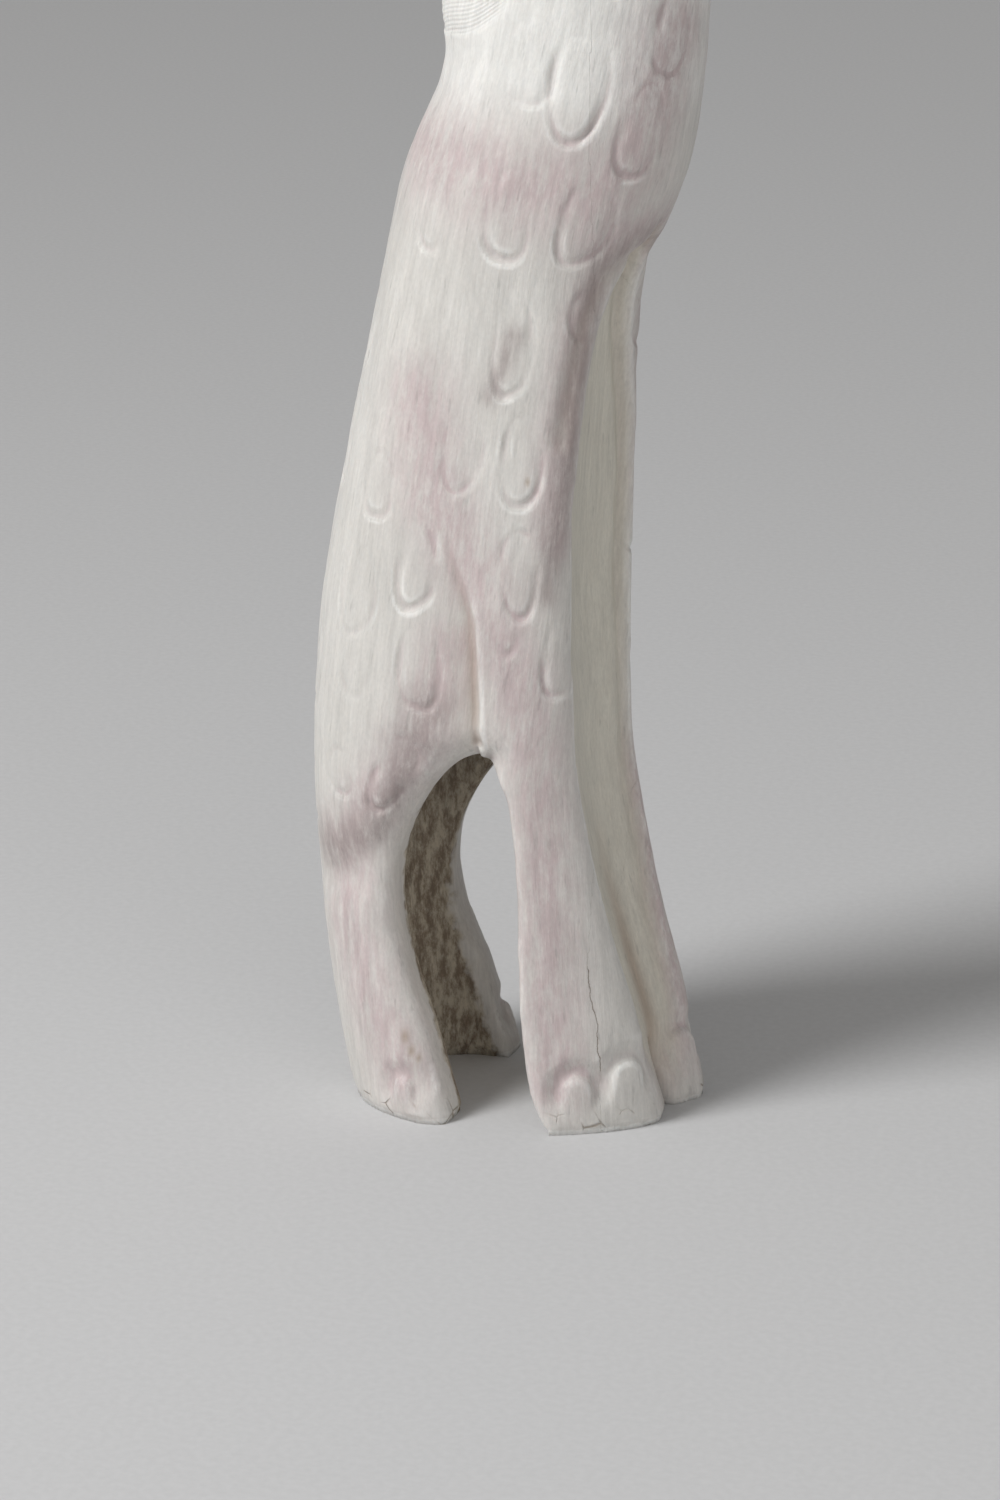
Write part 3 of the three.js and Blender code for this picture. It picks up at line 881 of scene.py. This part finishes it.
def marrow_amount(bone):
    """1 on the canal's wall, falling to 0 towards the outside of the bone."""
    height = bone.points[:, 2]
    middle, length, width = (at_height(MARROW_CANAL, height, column) for column in (1, 2, 3))
    ratio = np.hypot((bone.points[:, 0] - middle) / length, bone.points[:, 1] / width)
    limit = at_height(PALE_INSIDE, height)
    pale = smooth((bone.points[:, 0] - limit) / 3.5 + 0.5) * (bone.points[:, 1] > 0)
    pale *= smooth((PALE_INSIDE_FRONT - bone.points[:, 0]) / 2.0)
    return smooth((MARROW_RATIO - ratio) / MARROW_FADE) * (1 - pale)


def web_amount(bone):
    """1 in the channel down the front of the legs."""
    height = bone.points[:, 2]
    half = at_height(FRONT_WEB, height)
    inside = smooth((half - np.abs(bone.points[:, 1])) / 2.5 + 0.5)
    ahead = bone.points[:, 0] - at_height(MARROW_CANAL, height)
    below_top = smooth((WEB_TOP - height) / 4 + 0.5)
    return inside * smooth((ahead - WEB_AHEAD) / 4) * below_top * smooth((height + 2) / 16)


def painted(bone, strokes):
    """1 along the middle of each brush stroke, fading to 0 over its width."""
    total = np.zeros(len(bone.points))
    for width, places in strokes:
        gap, _ = near_line(bone.points, bone.line(places))
        total = np.maximum(total, np.exp(-(gap / width) ** 2))
    return total


def both_sides(strokes):
    """The strokes, and the same ones on the left side."""
    return strokes + [(width, mirrored(places, LEFT_DROP)) for width, places in strokes]


def crack_offset(bone):
    """A half on the crack of the near front foot, less behind it and more ahead of it."""
    places = bone.line(CRACK)
    height = bone.points[:, 2]
    heights = [place[2] for place in places]
    order = np.argsort(heights)
    line = np.array(places)[order]
    offset = bone.points[:, 0] - np.interp(height, line[:, 2], line[:, 0])
    beyond = np.maximum(height - line[-1, 2], 0) + np.maximum(line[0, 2] - height, 0)
    away = np.abs(bone.points[:, 1] - np.interp(height, line[:, 2], line[:, 1])) + beyond
    return 0.5 + (offset + np.sign(offset) * 2 * away) / CRACK_REACH


def speck_amount(bone):
    """1 at the middle of each dark speck."""
    total = np.zeros(len(bone.points))
    for turn, height, size in DARK_SPECKS:
        place, _ = bone.spot(turn, height)
        gap = np.linalg.norm((bone.points - place) * (1.0, 1.0, 0.6), axis=1)
        total = np.maximum(total, np.exp(-(gap / size) ** 2))
    return total


def carve_body(material):
    """The bone: polished and rounded, then its marks, its carving and a little wear."""
    bone = Shank("carved_body", BODY_VOXEL)
    height = bone.points[:, 2].copy()
    bone.relax(POLISH, free=0.1 + 0.9 * smooth((height.max() - height) / 2))
    bone.points[height < 0.05, 2] = 0
    round_arch_edge(bone, -1, RIGHT_ARCH_BACK)
    round_arch_edge(bone, 1, LEFT_ARCH_BACK)
    bone.start_cutting()
    height = bone.points[:, 2]
    marks = bone.marks
    marks["marrow"] = marrow_amount(bone)
    marks["web"] = web_amount(bone)
    outside = 1 - marks["marrow"]
    marks["stain"] = painted(bone, both_sides(STAINS) + [LEFT_FOOT_STAIN]) * outside
    # Darker stain strokes, partly painted shade.
    marks["dark_stain_and_shade"] = DARK_STAIN_AND_SHADE_STRENGTH * painted(bone, both_sides(DARK_STAIN_AND_SHADE_STROKES)) * outside
    marks["foot"] = smooth((FOOT_TOP - height) / 3)
    marks["crack"] = crack_offset(bone)
    bone.lean[:, 0] = at_height(MARROW_CANAL, height)
    # Paler from this height up: pale bone, and painted light on the top of the body.
    marks["pale_tone_and_light"] = smooth((height - PALE_AND_LIT_TOP_FROM) / 12)
    carve_spots(bone)
    for toe in TOES:
        carve_toe(bone, *toe)
    crease_shade = carve_folds(bone)
    web_edge = carve_web_edges(bone, marks["web"])
    carve_mane(bone)
    # Painted shade down the channel's middle, where it narrows into the gap between the front legs.
    dark_marks_and_shade = marks["web"] * np.exp(-(bone.points[:, 1] / 1.6) ** 2) * smooth((MIDDLE_SHADE_TOP - height) / 30)
    # Painted shade in the creases and along the channel's middle and sides, with the dark specks.
    marks["dark_marks_and_shade"] = np.maximum.reduce([dark_marks_and_shade, crease_shade, 0.18 * web_edge, speck_amount(bone)])
    chipped = smooth(1 - height / CHIP_TOP) * smooth(unevenness(bone.points, 0.9) * 1.4)
    bone.cut += CHIP_DEPTH * chipped
    bone.cut += WIDE_DENTS * unevenness(bone.points, 3.4) + FINE_DENTS * unevenness(bone.points, 1.1)
    bone.finish(material, "bone", keep_below=SOLE)


# ------------------------------------------------------------------ the tail

TAIL_VOXEL = 0.28
TAIL_POLISH = 6
TUFT_SHARE = 0.38
TUFT_DEPTH = 0.16
TUFT_HAIR = 0.95
PLAIT_DEPTH = 0.10
PLAIT_PITCH = 2.6


def carve_tail(material):
    """A thin plaited strip down the back, with hairs cut into its tuft."""
    tail = Carving("tail", TAIL_VOXEL)
    tail.relax(TAIL_POLISH)
    tail.start_cutting()
    across = tail.points[:, 1]
    height = tail.points[:, 2]
    low, high = height.min(), height.max()
    tuft = smooth((low + TUFT_SHARE * (high - low) - height) / 8)
    hairs = np.cos(2 * math.pi * (across / TUFT_HAIR + 0.15 * np.sin(height / 4)))
    plait = np.cos(2 * math.pi * (height + 1.2 * np.abs(across)) / PLAIT_PITCH)
    tail.cut += TUFT_DEPTH * tuft * hairs + PLAIT_DEPTH * (1 - tuft) * plait
    tail.marks["stain"] = 0.5 + 0.3 * unevenness(tail.points, 4.0)
    tail.finish(material, "bone")


# ------------------------------------------------------------------ the head

HEAD_VOXEL = 0.34
HEAD_POLISH = 26
CHEEK_SPOT_DEPTH = 0.34
SMALL_VOXEL = 0.26
SMALL_POLISH = 5
HORN_HAIRS = 11
HORN_HAIR_DEPTH = 0.13
EAR_HAIR_PITCH = 1.3
# Spots of the cheek and throat: how far behind the eye, how far below it, how tall, how wide.
CHEEK_SPOTS = [
    (9.5, 5.5, 6.5, 4.2),
    (4.0, 9.5, 6.0, 4.4),
    (9.5, 13.0, 7.0, 4.4),
    (-3.5, 7.0, 5.0, 4.2),
    (3.0, 16.5, 5.6, 4.2),
]


def middle_of(node):
    """The middle of a CAD node's box, in millimetres."""
    low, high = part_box(node)
    return np.array((low + high) / 2) / MM


def carve_face_side(head, eye, side):
    """One side of the face: brow, socket, cheek, nostril and mouth, each placed from the eye's middle."""
    x, y, z = eye
    head.hollow((x - 0.6, y, z + 3.2), (3.8, 3.0, 1.2), -1.0)
    head.hollow((x + 0.2, y, z - 3.1), (3.0, 3.0, 1.0), -0.5)
    gap = np.linalg.norm(head.points - eye, axis=1)
    head.cut += 0.5 * np.exp(-((gap - 3.0) / 0.75) ** 2)
    head.marks["dark_marks_and_shade"] += 0.5 * np.exp(-((gap - 2.7) / 0.6) ** 2)
    head.hollow((x + 9.5, y * 0.9, z - 5.0), (6.5, 3.5, 3.4), 1.0)
    jaw = [(x - 4, y * 1.05, z - 3), (x - 1.5, y * 1.05, z - 7)]
    jaw += [(x + 3, y * 0.95, z - 10), (x + 9, y * 0.8, z - 12.5)]
    head.groove(jaw, width=1.7, depth=0.5)
    nostril = head.hollow((x + 25.6, side * 4.4, z - 10.6), (1.5, 1.6, 0.8), 1.2)
    head.hollow((x + 24.6, side * 4.4, z - 9.0), (2.6, 1.8, 0.9), -0.4)
    lips = [(x + 28.6, 0, z - 16.6), (x + 27.2, side * 4.0, z - 16.9)]
    lips += [(x + 23.5, side * 6.4, z - 16.6), (x + 18.5, side * 6.6, z - 14.6)]
    mouth = head.groove(lips, width=0.55, depth=0.75)
    head.marks["dark_marks_and_shade"] += 0.8 * nostril + 0.8 * mouth
    for behind, below, tall, wide in CHEEK_SPOTS:
        place, normal = head.touch((x - behind, y * 1.2, z - below))
        head.engrave(place, normal, tall, wide, 8 * side, CHEEK_SPOT_DEPTH, phase=3 * behind + below)


def carve_head(material):
    """The head: both sides of the face, a raised forehead, the mane down the nape, and its colours."""
    head = Carving("head", HEAD_VOXEL)
    height = head.points[:, 2].copy()
    head.relax(HEAD_POLISH, free=0.1 + 0.9 * smooth((height - height.min()) / 2))
    head.start_cutting()
    eye = middle_of("left_eye")
    for side in (-1, 1):
        carve_face_side(head, eye * np.array([1, side, 1]), side)
    horn = middle_of("left_horn")
    head.hollow((horn[0] + 8.0, 0, horn[2] - 4.0), (4.5, 3.4, 3.0), -0.9)
    nape = smooth((eye[0] - 15.5 - head.points[:, 0]) / 2.5) * smooth((6.5 - np.abs(head.points[:, 1])) / 2)
    strand = (head.points[:, 2] - 0.05 * head.points[:, 1] ** 2) / STRAND_PITCH
    head.cut += nape * (MANE_RECESS + STRAND_DEPTH * np.cos(2 * math.pi * strand))
    head.marks["mane"] = nape
    head.marks["strand"] = strand / STRAND_SCALE
    # Pale like the top of the body, with the same painted light, varying a little.
    head.marks["pale_tone_and_light"] = 0.75 + 0.25 * unevenness(head.points, 6.0)
    muzzle = smooth((head.points[:, 0] - eye[0] - 19) / 8)
    throat = smooth((eye[2] - 12 - head.points[:, 2]) / 5) * smooth((eye[0] + 6 - head.points[:, 0]) / 6)
    head.marks["stain"] = 0.55 * muzzle + 0.4 * throat
    head.cut += 0.08 * unevenness(head.points, 3.0)
    head.finish(material, "bone")


def carve_horn(name, material):
    """A short horn with a knob, hair cut into its crown."""
    horn = Carving(name, SMALL_VOXEL)
    horn.relax(SMALL_POLISH)
    horn.start_cutting()
    middle = middle_of(name)
    top = horn.points[:, 2].max()
    angle = np.arctan2(horn.points[:, 1] - middle[1], horn.points[:, 0] - middle[0])
    crown = smooth((horn.points[:, 2] - top + 4.2) / 1.2)
    hairs = np.cos(HORN_HAIRS * angle)
    horn.cut += HORN_HAIR_DEPTH * crown * hairs + 0.06 * unevenness(horn.points, 1.6)
    horn.marks["dark_marks_and_shade"] = 0.35 * crown * (0.5 + 0.5 * hairs)
    # Fairly pale, with painted light as near the top of the body.
    horn.marks["pale_tone_and_light"] = np.full(len(horn.points), 0.6)
    horn.marks["stain"] = 0.5 * smooth((top - 6 - horn.points[:, 2]) / 4)
    horn.finish(material, "bone")


def carve_ear(name, material):
    """A leaf-shaped ear, hollowed along its middle with a few hairs."""
    ear = Carving(name, SMALL_VOXEL)
    ear.relax(SMALL_POLISH)
    ear.start_cutting()
    out = np.abs(ear.points[:, 1])
    along = smooth((out - out.min()) / (out.max() - out.min()))
    inner = np.clip(ear.normals[:, 0], 0, 1)
    hairs = np.cos(2 * math.pi * (ear.points[:, 2] + 0.15 * out) / EAR_HAIR_PITCH)
    ear.cut += inner * (0.15 + 0.08 * hairs) * smooth(4 * along * (1 - along))
    ear.marks["stain"] = 0.9 * inner * smooth(1.3 - along)
    # Fairly pale, with painted light as near the top of the body.
    ear.marks["pale_tone_and_light"] = np.full(len(out), 0.6)
    ear.finish(material, "bone")


# ------------------------------------------------------------------ assembly

def repaint(node, material):
    """Gives a CAD piece whose shape is right its material."""
    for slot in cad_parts[node].material_slots:
        slot.material = material


def main():
    add_camera()
    add_studio()
    add_floor()
    bone = bone_material()
    carve_body(bone)
    carve_tail(bone)
    carve_head(bone)
    eye = eye_material()
    for side in ("right", "left"):
        carve_horn(side + "_horn", bone)
        carve_ear(side + "_ear", bone)
        repaint(side + "_eye", eye)
    repaint("neck_dowel", peg_material())


main()
